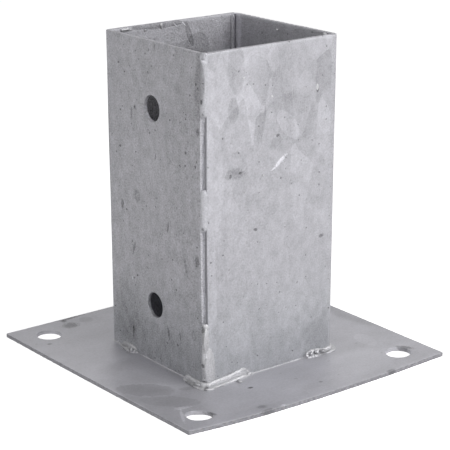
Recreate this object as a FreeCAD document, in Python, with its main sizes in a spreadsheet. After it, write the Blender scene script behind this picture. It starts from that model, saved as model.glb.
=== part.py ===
"""Bolt-down base for a square timber post.

A square sheet-steel sleeve stands on a square base plate.  The sleeve is two sheets, each folded to an L, which
meet edge to edge at the front and rear corners.  Three short beads close each of those corners, with the joint
left open between them, and a fillet weld runs round each corner of the sleeve's foot.

Frame: millimetres, +Z up, origin at the middle of the plate's underside.  The front corner of the sleeve points
to -X and -Y, the left one to -X and +Y, the right one to +X and -Y.  The bolt holes run along X, through the
-X and +X walls.
"""
import FreeCAD, Part
import os

import Sketcher

DIMENSIONS = {
    "plate_side": 150.0,
    "plate_thick": 2.0,
    "plate_corner_radius": 1.5,
    "anchor_hole_radius": 6.0,
    "anchor_spacing_x": 118.0,
    "anchor_spacing_y": 122.0,
    "overall_height": 154.0,
    "sleeve_side": 75.0,
    "sleeve_thick": 2.0,
    "fold_inner_radius": 0.3,
    "bolt_hole_radius": 6.0,
    "bolt_hole_off_centre": 1.0,
    "bolt_hole_from_end": 30.5,
    "seam_lower_top": 32.0,
    "seam_middle_foot": 75.0,
    "seam_middle_top": 94.0,
    "seam_upper_foot": 126.0,
    "foot_bead_leg": 3.5,
    "foot_bead_bulge": 0.5,
    "foot_front_run_left": 14.5,
    "foot_front_run_right": 25.0,
    "foot_left_run": 21.0,
    "foot_right_run": 16.5,
    "foot_far_run": 12.0,
}

# Sketcher's numbers for the ends of a piece of geometry, and for the sketch's own origin and X axis.
START, END, CENTRE = 1, 2, 3
ORIGIN = (-1, 1)
X_AXIS = -1

UP = FreeCAD.Vector(0, 0, 1)
HALF_TURN = 180
QUARTER_TURN = 90

doc = FreeCAD.newDocument("post_base")


def make_sheet():
    """The spreadsheet of driving dimensions, one named cell to a row."""
    sheet = doc.addObject("Spreadsheet::Sheet", "Dims")
    for row, (name, size) in enumerate(DIMENSIONS.items(), start=1):
        sheet.set(f"A{row}", name)
        sheet.set(f"B{row}", str(size))
        sheet.setAlias(f"B{row}", name)
    doc.recompute()
    return sheet


def make_body(node, height, turn=0):
    """An empty body whose own origin stands at a height, turned about the object's vertical axis in degrees."""
    body = doc.addObject("PartDesign::Body", node)
    body.Label = node
    body.Placement = FreeCAD.Placement(FreeCAD.Vector(), FreeCAD.Rotation(UP, turn))
    body.setExpression("Placement.Base.z", height)
    return body


def make_sketch(body, name, plane="XY_Plane"):
    """A sketch on one of the body's own origin planes."""
    sketch = body.newObject("Sketcher::SketchObject", f"{body.Name}_{name}")
    support = next(item for item in body.Origin.OriginFeatures if item.Role == plane)
    sketch.AttachmentSupport = [(support, "")]
    sketch.MapMode = "FlatFace"
    return sketch


def add_line(sketch, start, end):
    segment = Part.LineSegment(FreeCAD.Vector(*start, 0), FreeCAD.Vector(*end, 0))
    return sketch.addGeometry(segment, False)


def add_arc(sketch, start, middle, end):
    arc = Part.Arc(*(FreeCAD.Vector(*point, 0) for point in (start, middle, end)))
    return sketch.addGeometry(arc, False)


def add_circle(sketch, centre, radius):
    return sketch.addGeometry(Part.Circle(FreeCAD.Vector(*centre, 0), UP, radius), False)


def tie(sketch, kind, *ends):
    """A constraint that has no size, such as Coincident, Tangent or Vertical."""
    sketch.addConstraint(Sketcher.Constraint(kind, *ends))


def drive(sketch, kind, name, ends, drawn_size, expression):
    """A named constraint whose size follows the spreadsheet."""
    number = sketch.addConstraint(Sketcher.Constraint(kind, *ends, drawn_size))
    sketch.renameConstraint(number, name)
    sketch.setExpression(f"Constraints.{name}", expression)


def point_on_arc(centre, radius, direction):
    """The point of a circle that lies towards a diagonal direction, given as two signs."""
    reach = radius / 2 ** 0.5
    return (centre[0] + direction[0] * reach, centre[1] + direction[1] * reach)


def add_pad(body, sketch, length):
    pad = body.newObject("PartDesign::Pad", f"{body.Name}_pad")
    pad.Profile = sketch
    pad.setExpression("Length", length)
    doc.recompute()
    return pad


def add_pocket(body, sketch, length, upwards=False):
    """A pocket behind the sketch, or in front of it, that is sure to have removed metal."""
    before = body.Shape.Volume
    pocket = body.newObject("PartDesign::Pocket", f"{body.Name}_pocket")
    pocket.Profile = sketch
    pocket.Reversed = upwards
    pocket.setExpression("Length", length)
    doc.recompute()
    if pocket.Shape.Volume >= before:
        raise RuntimeError(f"the holes in {body.Name} removed nothing")
    return pocket


def add_round_hole(sketch, name, centre, radius, radius_size, x_size, y_size):
    """A circle whose radius and distances from the sketch's origin follow the spreadsheet."""
    circle = add_circle(sketch, centre, radius)
    drive(sketch, "Radius", f"{name}_radius", (circle,), radius, radius_size)
    for kind, letter, place, size in zip(("DistanceX", "DistanceY"), "xy", centre, (x_size, y_size)):
        ends = (*ORIGIN, circle, CENTRE) if place > 0 else (circle, CENTRE, *ORIGIN)
        drive(sketch, kind, f"{name}_{letter}", ends, abs(place), size)


def base_plate(d):
    """The square plate, its corners just rounded, with an anchor hole near each."""
    body = make_body("base_plate", "0")
    half = d.plate_side / 2
    corners = [(-half, -half), (half, -half), (half, half), (-half, half)]
    outline = make_sketch(body, "outline")
    sides = [add_line(outline, corners[n], corners[(n + 1) % 4]) for n in range(4)]
    for n, side in enumerate(sides):
        tie(outline, "Coincident", side, END, sides[(n + 1) % 4], START)
        tie(outline, "Vertical" if n % 2 else "Horizontal", side)
    for kind, letter in (("DistanceX", "x"), ("DistanceY", "y")):
        drive(outline, kind, f"low_{letter}", (sides[0], START, *ORIGIN), half, "Dims.plate_side / 2")
        drive(outline, kind, f"high_{letter}", (*ORIGIN, sides[2], START), half, "Dims.plate_side / 2")
    pad = add_pad(body, outline, "Dims.plate_thick")

    upright = [f"Edge{n}" for n, edge in enumerate(pad.Shape.Edges, start=1)
               if edge.BoundBox.ZLength > d.plate_thick / 2]
    rounding = body.newObject("PartDesign::Fillet", "base_plate_corners")
    rounding.Base = (pad, upright)
    rounding.setExpression("Radius", "Dims.plate_corner_radius")
    doc.recompute()

    holes = make_sketch(body, "anchor_holes")
    for n, (x_side, y_side) in enumerate(((-1, -1), (1, -1), (1, 1), (-1, 1))):
        centre = (x_side * d.anchor_spacing_x / 2, y_side * d.anchor_spacing_y / 2)
        add_round_hole(holes, f"hole_{n}", centre, d.anchor_hole_radius, "Dims.anchor_hole_radius",
                       "Dims.anchor_spacing_x / 2", "Dims.anchor_spacing_y / 2")
    add_pocket(body, holes, "Dims.plate_thick", upwards=True)
    return body


def sleeve_angle(d, node, turn):
    """One sheet folded to an L: a bolted wall and a plain wall, with the fold between them.

    It is drawn as the left-hand sheet, with the bolted wall at -X and the fold at -X and +Y.  The right-hand
    sheet is the same one given half a turn, with its bolt holes moved so that a bolt passes straight through.
    """
    body = make_body(node, "Dims.plate_thick", turn)
    half, thick = d.sleeve_side / 2, d.sleeve_thick
    inside = half - thick
    outer_radius = d.fold_inner_radius + thick
    bend = half - outer_radius

    section = make_sketch(body, "section")
    bolted_face = add_line(section, (-half, -inside), (-half, bend))
    fold_outside = add_arc(section, (-bend, half), point_on_arc((-bend, bend), outer_radius, (-1, 1)), (-half, bend))
    plain_face = add_line(section, (-bend, half), (inside, half))
    plain_edge = add_line(section, (inside, half), (inside, inside))
    plain_back = add_line(section, (inside, inside), (-bend, inside))
    fold_inside = add_arc(section, (-bend, inside),
                          point_on_arc((-bend, bend), d.fold_inner_radius, (-1, 1)), (-inside, bend))
    bolted_back = add_line(section, (-inside, bend), (-inside, -inside))
    bolted_edge = add_line(section, (-inside, -inside), (-half, -inside))

    tie(section, "Tangent", bolted_face, END, fold_outside, END)
    tie(section, "Tangent", plain_face, START, fold_outside, START)
    tie(section, "Coincident", plain_face, END, plain_edge, START)
    tie(section, "Coincident", plain_edge, END, plain_back, START)
    tie(section, "Tangent", plain_back, END, fold_inside, START)
    tie(section, "Tangent", bolted_back, START, fold_inside, END)
    tie(section, "Coincident", bolted_back, END, bolted_edge, START)
    tie(section, "Coincident", bolted_edge, END, bolted_face, START)
    for upright in (bolted_face, plain_edge, bolted_back):
        tie(section, "Vertical", upright)
    for level in (plain_face, plain_back, bolted_edge):
        tie(section, "Horizontal", level)
    tie(section, "Coincident", fold_inside, CENTRE, fold_outside, CENTRE)
    drive(section, "Radius", "fold", (fold_inside,), d.fold_inner_radius, "Dims.fold_inner_radius")
    drive(section, "DistanceX", "thick", (bolted_edge, END, bolted_edge, START), thick, "Dims.sleeve_thick")
    drive(section, "DistanceX", "bolted_out", (bolted_face, START, *ORIGIN), half, "Dims.sleeve_side / 2")
    drive(section, "DistanceY", "plain_out", (*ORIGIN, plain_face, START), half, "Dims.sleeve_side / 2")
    drive(section, "DistanceX", "plain_end", (*ORIGIN, plain_edge, START), inside,
          "Dims.sleeve_side / 2 - Dims.sleeve_thick")
    drive(section, "DistanceY", "bolted_end", (bolted_edge, START, *ORIGIN), inside,
          "Dims.sleeve_side / 2 - Dims.sleeve_thick")
    add_pad(body, section, "Dims.overall_height - Dims.plate_thick")

    holes = make_sketch(body, "bolt_holes", "YZ_Plane")
    off_centre = -d.bolt_hole_off_centre if turn else d.bolt_hole_off_centre
    heights = {
        "lower": (d.bolt_hole_from_end - d.plate_thick, "Dims.bolt_hole_from_end - Dims.plate_thick"),
        "upper": (d.overall_height - d.plate_thick - d.bolt_hole_from_end,
                  "Dims.overall_height - Dims.plate_thick - Dims.bolt_hole_from_end"),
    }
    for name, (height, height_size) in heights.items():
        add_round_hole(holes, name, (off_centre, height), d.bolt_hole_radius, "Dims.bolt_hole_radius",
                       "Dims.bolt_hole_off_centre", height_size)
    add_pocket(body, holes, "Dims.sleeve_side / 2")
    return body


def seam_weld(d, node, turn, foot, top):
    """A bead in the square notch between the two sheets' edges, with a face rounded like a worn corner."""
    body = make_body(node, foot, turn)
    half = d.sleeve_side / 2
    root = (-half + d.sleeve_thick, -half + d.sleeve_thick)
    left, right = (-half, root[1]), (root[0], -half)

    section = make_sketch(body, "section")
    left_side = add_line(section, root, left)
    right_side = add_line(section, root, right)
    face = add_arc(section, left, point_on_arc(root, d.sleeve_thick, (-1, -1)), right)
    tie(section, "Coincident", left_side, START, right_side, START)
    tie(section, "Horizontal", left_side)
    tie(section, "Vertical", right_side)
    tie(section, "Coincident", face, START, left_side, END)
    tie(section, "Coincident", face, END, right_side, END)
    tie(section, "Coincident", face, CENTRE, left_side, START)
    drive(section, "Radius", "face_radius", (face,), d.sleeve_thick, "Dims.sleeve_thick")
    for kind, name in (("DistanceX", "root_x"), ("DistanceY", "root_y")):
        drive(section, kind, name, (left_side, START, *ORIGIN), -root[0], "Dims.sleeve_side / 2 - Dims.sleeve_thick")
    add_pad(body, section, f"{top} - {foot}")
    return body


def foot_weld(d, node, turn, corner_radius, corner_size, first_run, second_run):
    """A fillet weld round one corner of the sleeve's foot.

    It is drawn at the front corner, where the first run is on the -X wall and the second on the -Y wall.
    """
    body = make_body(node, "Dims.plate_thick", turn)
    half = d.sleeve_side / 2
    bend = half - corner_radius
    first = half - DIMENSIONS[first_run]
    second = half - DIMENSIONS[second_run]

    path = make_sketch(body, "path")
    first_line = add_line(path, (-half, -first), (-half, -bend))
    turn_arc = add_arc(path, (-half, -bend), point_on_arc((-bend, -bend), corner_radius, (-1, -1)), (-bend, -half))
    second_line = add_line(path, (-bend, -half), (-second, -half))
    tie(path, "Vertical", first_line)
    tie(path, "Horizontal", second_line)
    tie(path, "Tangent", first_line, END, turn_arc, START)
    tie(path, "Tangent", second_line, START, turn_arc, END)
    drive(path, "Radius", "corner", (turn_arc,), corner_radius, corner_size)
    drive(path, "DistanceX", "first_wall", (first_line, START, *ORIGIN), half, "Dims.sleeve_side / 2")
    drive(path, "DistanceY", "second_wall", (second_line, END, *ORIGIN), half, "Dims.sleeve_side / 2")
    drive(path, "DistanceY", "first_end", (first_line, START, *ORIGIN), first,
          f"Dims.sleeve_side / 2 - Dims.{first_run}")
    drive(path, "DistanceX", "second_end", (second_line, END, *ORIGIN), second,
          f"Dims.sleeve_side / 2 - Dims.{second_run}")

    section = make_sketch(body, "section", "XZ_Plane")
    section.setExpression("AttachmentOffset.Base.z", f"Dims.sleeve_side / 2 - Dims.{first_run}")
    leg, bulge = d.foot_bead_leg, d.foot_bead_bulge
    crown = leg / 2 + bulge / 2 ** 0.5
    on_plate = add_line(section, (-half, 0), (-half - leg, 0))
    on_wall = add_line(section, (-half, 0), (-half, leg))
    face = add_arc(section, (-half, leg), (-half - crown, crown), (-half - leg, 0))
    tie(section, "Coincident", on_plate, START, on_wall, START)
    tie(section, "Horizontal", on_plate)
    tie(section, "Vertical", on_wall)
    tie(section, "Coincident", face, START, on_wall, END)
    tie(section, "Coincident", face, END, on_plate, END)
    tie(section, "PointOnObject", on_plate, START, X_AXIS)
    drive(section, "DistanceX", "wall", (on_wall, START, *ORIGIN), half, "Dims.sleeve_side / 2")
    drive(section, "DistanceX", "plate_leg", (on_plate, END, on_plate, START), leg, "Dims.foot_bead_leg")
    drive(section, "DistanceY", "wall_leg", (on_wall, START, on_wall, END), leg, "Dims.foot_bead_leg")
    face_radius = (leg ** 2 / 2 + bulge ** 2) / (2 * bulge)
    drive(section, "Radius", "face_radius", (face,), face_radius,
          "(Dims.foot_bead_leg ^ 2 / 2 + Dims.foot_bead_bulge ^ 2) / (2 * Dims.foot_bead_bulge)")
    doc.recompute()

    bead = body.newObject("PartDesign::AdditivePipe", f"{body.Name}_bead")
    bead.Profile = section
    bead.Spine = (path, [f"Edge{n}" for n in range(1, len(path.Shape.Edges) + 1)])
    bead.Mode = "Frenet"
    doc.recompute()
    return body


def build(d):
    """Every piece of the post base, in the order in which it is put together."""
    pieces = [
        base_plate(d),
        sleeve_angle(d, "sleeve_angle_left", 0),
        sleeve_angle(d, "sleeve_angle_right", HALF_TURN),
    ]
    stretches = {
        "lower": ("Dims.plate_thick", "Dims.seam_lower_top"),
        "middle": ("Dims.seam_middle_foot", "Dims.seam_middle_top"),
        "upper": ("Dims.seam_upper_foot", "Dims.overall_height"),
    }
    for corner, turn in (("front", 0), ("rear", HALF_TURN)):
        for stretch, (foot, top) in stretches.items():
            pieces.append(seam_weld(d, f"{corner}_seam_weld_{stretch}", turn, foot, top))

    seam_radius = (d.sleeve_thick, "Dims.sleeve_thick")
    fold_radius = (d.fold_inner_radius + d.sleeve_thick, "Dims.fold_inner_radius + Dims.sleeve_thick")
    corners = {
        "front": (0, seam_radius, "foot_front_run_left", "foot_front_run_right"),
        "left": (-QUARTER_TURN, fold_radius, "foot_far_run", "foot_left_run"),
        "right": (QUARTER_TURN, fold_radius, "foot_right_run", "foot_far_run"),
        "rear": (HALF_TURN, seam_radius, "foot_far_run", "foot_far_run"),
    }
    for corner, (turn, (radius, radius_size), first_run, second_run) in corners.items():
        pieces.append(foot_weld(d, f"foot_weld_{corner}", turn, radius, radius_size, first_run, second_run))
    return pieces


def check(pieces):
    """Stop unless every sketch is fully driven, every feature worked and every piece is one sound solid."""
    doc.recompute()
    for item in doc.Objects:
        if {"Invalid", "Error"} & set(item.State):
            raise RuntimeError(f"{item.Label} failed: {item.State}")
        if item.TypeId == "Sketcher::SketchObject" and not item.FullyConstrained:
            raise RuntimeError(f"{item.Label} isn't fully constrained")
    for piece in pieces:
        if piece.Shape.isNull() or not piece.Shape.isValid() or len(piece.Shape.Solids) != 1:
            raise RuntimeError(f"{piece.Label} isn't one sound solid")


def write(pieces):
    os.makedirs("parts", exist_ok=True)
    for piece in pieces:
        piece.Shape.exportStep(f"parts/{piece.Label}.step")
        box = piece.Shape.BoundBox
        print(f"{piece.Label}: {piece.Shape.Volume:.0f} mm3, "
              f"x {box.XMin:.2f} to {box.XMax:.2f}, y {box.YMin:.2f} to {box.YMax:.2f}, "
              f"z {box.ZMin:.2f} to {box.ZMax:.2f}")


dims = make_sheet()
solids = build(dims)
check(solids)
write(solids)
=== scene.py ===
"""Timber post base: zinc-coated sheet pieces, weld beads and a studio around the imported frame."""
import math

import bmesh
import bpy
from mathutils import Matrix, Vector, noise


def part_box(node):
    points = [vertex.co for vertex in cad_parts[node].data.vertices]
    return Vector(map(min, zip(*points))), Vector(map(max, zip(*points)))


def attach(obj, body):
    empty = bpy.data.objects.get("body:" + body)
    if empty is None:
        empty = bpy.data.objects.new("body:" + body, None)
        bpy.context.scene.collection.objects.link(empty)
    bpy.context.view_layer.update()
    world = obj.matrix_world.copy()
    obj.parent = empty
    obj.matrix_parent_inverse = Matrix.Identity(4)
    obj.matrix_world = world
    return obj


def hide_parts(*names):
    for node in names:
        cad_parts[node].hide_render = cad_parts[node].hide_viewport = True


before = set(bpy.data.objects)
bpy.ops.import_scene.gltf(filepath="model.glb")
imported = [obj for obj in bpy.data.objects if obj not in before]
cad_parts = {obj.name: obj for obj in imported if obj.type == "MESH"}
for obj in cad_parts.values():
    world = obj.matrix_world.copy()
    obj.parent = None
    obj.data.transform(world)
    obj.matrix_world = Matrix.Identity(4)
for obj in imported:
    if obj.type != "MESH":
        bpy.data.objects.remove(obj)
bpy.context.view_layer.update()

bl_info = {
    "name": "Timber post base",
    "version": (1, 0, 0),
    "blender": (4, 5, 0),
    "location": "3D View > Sidebar > Post Base",
    "description": "Builds a hot-dip galvanised post base with its welds and zinc finish",
    "category": "Add Mesh",
}

MM = 0.001
PLATE_LOW, PLATE_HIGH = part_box("base_plate")
LEFT_LOW, LEFT_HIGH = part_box("sleeve_angle_left")
SHEET = PLATE_HIGH.z - PLATE_LOW.z
PLATE_HALF = PLATE_HIGH.x
SLEEVE_HALF = -LEFT_LOW.x
SLEEVE_FOOT = LEFT_LOW.z
SLEEVE_TOP = LEFT_HIGH.z
HOLE_BLOCK = 1.35  # half width of the block of cells that a hole replaces, in hole radii
SHARP_FOLD = math.radians(50)  # edges that turn more than this are rounded
WALL_EDGE = 0.35 * MM  # rounding of the walls' cut edges
PLATE_RIM = 0.85 * MM  # rounding of the plate's outer top edge
PLATE_EDGE = 0.25 * MM  # rounding of the plate's other edges
NEAR_CORNER = 0.3 * MM  # corner radius of the plate's near corner
PLATE_CORNER = 0.6 * MM  # corner radius of its other corners
BOW_REACH = 50 * MM  # how far from the front seam the sleeve is bowed
BOW_X = 0.5 * MM
BOW_Y = 0.38 * MM
BEAD_SIDES = 40
LUMP_SIZE = 1.5 * MM  # size of the lumps on a bead
FOOT_LUMP = 0.17 * MM  # their height on a foot bead


# ------------------------------------------------------------------ settings

class PlateSettings(bpy.types.PropertyGroup):
    cell: bpy.props.FloatProperty(
        name="Mesh cell", description="Width of the plate's mesh cells",
        default=1.5 * MM, unit="LENGTH")
    hole_radius: bpy.props.FloatProperty(
        name="Anchor hole radius", description="Radius of the four anchor holes",
        default=6 * MM, unit="LENGTH")
    hole_x: bpy.props.FloatProperty(
        name="Anchor hole X", description="Distance of the anchor holes from the middle, along X",
        default=59 * MM, unit="LENGTH")
    hole_y: bpy.props.FloatProperty(
        name="Anchor hole Y", description="Distance of the anchor holes from the middle, along Y",
        default=61 * MM, unit="LENGTH")
    near_lift: bpy.props.FloatProperty(
        name="Near corner lift", description="How far the near corner has bent up",
        default=3.6 * MM, unit="LENGTH")
    side_lift: bpy.props.FloatProperty(
        name="Side corner lift", description="How far the other corners have bent up",
        default=0.9 * MM, unit="LENGTH")


class SleeveSettings(bpy.types.PropertyGroup):
    cell: bpy.props.FloatProperty(
        name="Mesh cell", description="Width of the walls' mesh cells",
        default=1.6 * MM, unit="LENGTH")
    fold_radius: bpy.props.FloatProperty(
        name="Outer fold radius", description="Radius of the folded corners, outside",
        default=2.1 * MM, unit="LENGTH")
    hole_radius: bpy.props.FloatProperty(
        name="Bolt hole radius", description="Radius of the bolt holes",
        default=6 * MM, unit="LENGTH")
    hole_low: bpy.props.FloatProperty(
        name="Lower bolt hole", description="Height of the lower bolt holes",
        default=30.5 * MM, unit="LENGTH")
    hole_high: bpy.props.FloatProperty(
        name="Upper bolt hole", description="Height of the upper bolt holes",
        default=123.5 * MM, unit="LENGTH")
    hole_off: bpy.props.FloatProperty(
        name="Bolt hole offset", description="Distance of the bolt holes from the walls' middle",
        default=1 * MM, unit="LENGTH")
    lean: bpy.props.FloatProperty(
        name="Lean", description="Sideways lean of the right-hand wall at its top",
        default=1.05 * MM, unit="LENGTH")
    spread: bpy.props.FloatProperty(
        name="Spread", description="How far the right-hand wall stands out at its foot",
        default=-0.05 * MM, unit="LENGTH")


class ZincSettings(bpy.types.PropertyGroup):
    sheet_colour: bpy.props.FloatVectorProperty(
        name="Sheet colour", description="Colour of the zinc on the walls",
        subtype="COLOR", size=3, min=0, max=1, default=(0.469, 0.471, 0.501))
    plate_colour: bpy.props.FloatVectorProperty(
        name="Plate colour", description="Colour of the zinc on the base plate",
        subtype="COLOR", size=3, min=0, max=1, default=(0.525, 0.526, 0.559))
    weld_colour: bpy.props.FloatVectorProperty(
        name="Weld colour", description="Colour of the zinc on the weld beads",
        subtype="COLOR", size=3, min=0, max=1, default=(0.56, 0.562, 0.58))


class StageSettings(bpy.types.PropertyGroup):
    lens: bpy.props.FloatProperty(
        name="Lens", description="Focal length on a 36 mm sensor",
        default=122.8, unit="CAMERA")
    azimuth: bpy.props.FloatProperty(
        name="Azimuth", description="The camera's turn from the front",
        default=math.radians(-37.803), subtype="ANGLE", unit="ROTATION")
    elevation: bpy.props.FloatProperty(
        name="Elevation", description="The camera's height above the level",
        default=math.radians(17.463), subtype="ANGLE", unit="ROTATION")
    roll: bpy.props.FloatProperty(
        name="Roll", description="The camera's turn about its own axis",
        default=math.radians(-0.209), subtype="ANGLE", unit="ROTATION")
    distance: bpy.props.FloatProperty(
        name="Distance", description="From the camera to its target",
        default=721.08 * MM, unit="LENGTH")
    target_side: bpy.props.FloatProperty(
        name="Target offset", description="The target's sideways distance from the post's axis",
        default=2.18 * MM, unit="LENGTH")
    target_height: bpy.props.FloatProperty(
        name="Target height", description="The target's height above the floor",
        default=62.28 * MM, unit="LENGTH")
    key: bpy.props.FloatProperty(
        name="Key light", description="Power of the large light at the right", default=11.8, unit="POWER")
    fill: bpy.props.FloatProperty(
        name="Fill light", description="Power of the light at the left", default=2.95, unit="POWER")
    top: bpy.props.FloatProperty(
        name="Top light", description="Power of the overhead light", default=0.8, unit="POWER")
    ambient: bpy.props.FloatProperty(
        name="Ambient", description="Strength of the even light from all round", default=0.03)


class PostBaseSettings(bpy.types.PropertyGroup):
    plate: bpy.props.PointerProperty(type=PlateSettings, name="Plate", description="Base plate")
    sleeve: bpy.props.PointerProperty(type=SleeveSettings, name="Sleeve", description="Folded angles")
    zinc: bpy.props.PointerProperty(type=ZincSettings, name="Zinc", description="Zinc colours")
    stage: bpy.props.PointerProperty(type=StageSettings, name="Stage", description="Camera and light")


# ------------------------------------------------------------------ mesh helpers

def smoothstep(low, high, value):
    """A smooth rise from 0 at low to 1 at high."""
    t = min(1.0, max(0.0, (value - low) / (high - low)))
    return t * t * (3 - 2 * t)


def ripple(point, size, seed=0.0):
    """Smooth noise from -1 to 1 whose lumps are about size across."""
    return noise.noise(Vector(point) / size + Vector((seed, seed * 1.7, -seed)))


def open_hole(bm, centre, turn, radius, block):
    """Opens a round hole in a gridded sheet: the cells there become rings of cells round the hole."""
    place = Matrix.Translation(centre) @ turn
    back = place.inverted()
    cells = []
    for face in bm.faces:
        p = back @ face.calc_center_median()
        if max(abs(p.x), abs(p.y)) < block and abs(p.z) < radius / 2:
            cells.append(face)
    plug = bmesh.ops.dissolve_faces(bm, faces=cells)["region"][0]
    bmesh.ops.inset_individual(bm, faces=[plug], thickness=0.05 * MM)
    rim = plug.verts[:]
    spokes = [e for v in rim for e in v.link_edges if e not in plug.edges[:]]
    for v in rim:
        p = back @ v.co
        p.z = 0
        v.co = place @ (p.normalized() * radius)
    bmesh.ops.delete(bm, geom=[plug], context="FACES_ONLY")
    bmesh.ops.subdivide_edges(bm, edges=spokes, cuts=2, use_grid_fill=True)


def finish_piece(name, bm, materials, nodes, sharp_angle=40):
    """Turns a bmesh into a piece that rides on the part and stands for its CAD nodes."""
    bm.normal_update()
    mesh = bpy.data.meshes.new(name)
    bm.to_mesh(mesh)
    bm.free()
    mesh.shade_smooth()
    mesh.set_sharp_from_angle(angle=math.radians(sharp_angle))
    for material in materials:
        mesh.materials.append(material)
    piece = bpy.data.objects.new(name, mesh)
    bpy.context.scene.collection.objects.link(piece)
    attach(piece, "root")
    if nodes:
        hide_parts(*nodes)
    return piece


def bead_section(angle):
    """Reach of a foot bead's section at an angle: hollow-faced, with a ridge along each toe."""
    turn = math.degrees(angle)
    turn = turn - 360 if turn > 225 else turn
    if -20 <= turn <= 110:
        flat = 0.66 + 0.34 * abs(math.cos(math.radians(2 * min(90, max(0, turn)))))
        toe = math.exp(-((turn - 74) / 10) ** 2) + math.exp(-((turn - 16) / 10) ** 2)
        return flat * (1 + 0.13 * toe)
    return 0.3


def sweep_section(bm, frames, sides, section, lump, lump_size, seed):
    """Sweeps a section through a row of placements, closes both ends, and lumps the surface."""
    start = len(bm.verts)
    verts = bmesh.ops.create_circle(bm, segments=sides, radius=1, cap_ends=True)["verts"]
    face = verts[0].link_faces[0]
    for v in verts:
        v.co *= section(math.atan2(v.co.y, v.co.x) % math.tau)
    bmesh.ops.transform(bm, matrix=frames[0], verts=verts)
    for step, (before, after) in enumerate(zip(frames, frames[1:])):
        made = bmesh.ops.extrude_face_region(bm, geom=[face])["geom"]
        if step:
            bmesh.ops.delete(bm, geom=[face], context="FACES_ONLY")
        verts = [g for g in made if isinstance(g, bmesh.types.BMVert)]
        face = next(g for g in made if isinstance(g, bmesh.types.BMFace))
        bmesh.ops.transform(bm, matrix=after @ before.inverted(), verts=verts)
    bm.verts.ensure_lookup_table()
    made = bm.verts[start:]
    bmesh.ops.recalc_face_normals(bm, faces=list({f for v in made for f in v.link_faces}))
    bm.normal_update()
    for v, normal in [(v, v.normal.copy()) for v in made]:
        rough = ripple(v.co, lump_size, seed) + 0.6 * ripple(v.co, lump_size / 2.2, seed + 5)
        v.co += normal * lump * rough


def between(controls, place):
    """The values at a place in a list of (place, value, value) controls."""
    for (p0, *v0), (p1, *v1) in zip(controls, controls[1:]):
        if place <= p1:
            share = smoothstep(p0, p1, place)
            return [a + (b - a) * share for a, b in zip(v0, v1)]
    return controls[-1][1:]


def add_drop(bm, centre, size, lump, seed):
    """Adds one lumpy drop of zinc; size is its three half widths."""
    verts = bmesh.ops.create_icosphere(bm, subdivisions=3, radius=1)["verts"]
    for v in verts:
        v.co *= 1 + lump * ripple(v.co, 0.9, seed)
    place = Matrix.Translation(centre) @ Matrix.Diagonal((*size, 1))
    bmesh.ops.transform(bm, matrix=place, verts=verts)


# ------------------------------------------------------------------ shader helpers

def add_node(tree, kind, sockets=None, **settings):
    """Adds a node; sockets maps an input's name or number to a value or to an output."""
    node = tree.nodes.new(kind)
    for key, value in settings.items():
        setattr(node, key, value)
    for key, value in (sockets or {}).items():
        if isinstance(value, bpy.types.NodeSocket):
            tree.links.new(value, node.inputs[key])
        else:
            node.inputs[key].default_value = value
    return node


def math_node(tree, operation, a, b=0.0, c=0.0, clamp=False):
    """Output of a Math node."""
    return add_node(tree, "ShaderNodeMath", {0: a, 1: b, 2: c},
                    operation=operation, use_clamp=clamp).outputs[0]


def vector_node(tree, operation, a, b=(0, 0, 0), scale=1.0):
    """Output of a Vector Math node."""
    sockets = {0: a, 3: scale} if operation == "SCALE" else {0: a, 1: b}
    node = add_node(tree, "ShaderNodeVectorMath", sockets, operation=operation)
    return node.outputs["Value" if operation in ("LENGTH", "DOT_PRODUCT") else "Vector"]


def map_range(tree, value, low, high, to_low=0.0, to_high=1.0, kind="SMOOTHSTEP"):
    """Output of a Map Range node."""
    node = add_node(tree, "ShaderNodeMapRange", {"Value": value, "From Min": low, "From Max": high,
                                                 "To Min": to_low, "To Max": to_high})
    node.interpolation_type = kind
    return node.outputs[0]


def noise_node(tree, vector, scale, detail=3.0, rough=0.55, distort=0.0):
    """Output of a Noise Texture node, as a value."""
    return add_node(tree, "ShaderNodeTexNoise", {
        "Vector": vector, "Scale": scale, "Detail": detail, "Roughness": rough,
        "Distortion": distort}).outputs[0]


def new_group(name, inputs, outputs):
    """Starts a shader node group; inputs are (name, kind, default)."""
    tree = bpy.data.node_groups.new(name, "ShaderNodeTree")
    kinds = {"value": "NodeSocketFloat", "vector": "NodeSocketVector", "colour": "NodeSocketColor"}
    for label, kind, default in inputs:
        socket = tree.interface.new_socket(label, in_out="INPUT", socket_type=kinds[kind])
        if default is not None:
            socket.default_value = default
    for label, kind in outputs:
        tree.interface.new_socket(label, in_out="OUTPUT", socket_type=kinds[kind])
    return tree, tree.nodes.new("NodeGroupInput").outputs, tree.nodes.new("NodeGroupOutput").inputs


def spangle_group():
    """Crisp-edged zinc crystals, each with its own tone, drawn out upwards."""
    tree, given, out = new_group("Zinc spangle", [
        ("Vector", "vector", None), ("Size", "value", 14.0), ("Stretch", "value", 1.4),
        ("Waviness", "value", 0.5)], [("Tone", "value")])
    stretch = add_node(tree, "ShaderNodeCombineXYZ", {
        "X": 1.0, "Y": 1.0, "Z": math_node(tree, "DIVIDE", 1.0, given["Stretch"])}).outputs[0]
    place = vector_node(tree, "MULTIPLY", given["Vector"], stretch)
    place = vector_node(tree, "SCALE", place, scale=math_node(tree, "DIVIDE", 1.0, given["Size"]))
    wave = add_node(tree, "ShaderNodeTexNoise", {
        "Vector": place, "Scale": 1.3, "Detail": 3.0}).outputs["Color"]
    wave = vector_node(tree, "SUBTRACT", wave, (0.5, 0.5, 0.5))
    place = vector_node(tree, "ADD", place, vector_node(tree, "SCALE", wave, scale=given["Waviness"]))
    cells = add_node(tree, "ShaderNodeTexVoronoi", {"Vector": place, "Scale": 1.0})
    split = add_node(tree, "ShaderNodeSeparateColor", {0: cells.outputs["Color"]})
    tree.links.new(split.outputs[0], out["Tone"])
    return tree


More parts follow.
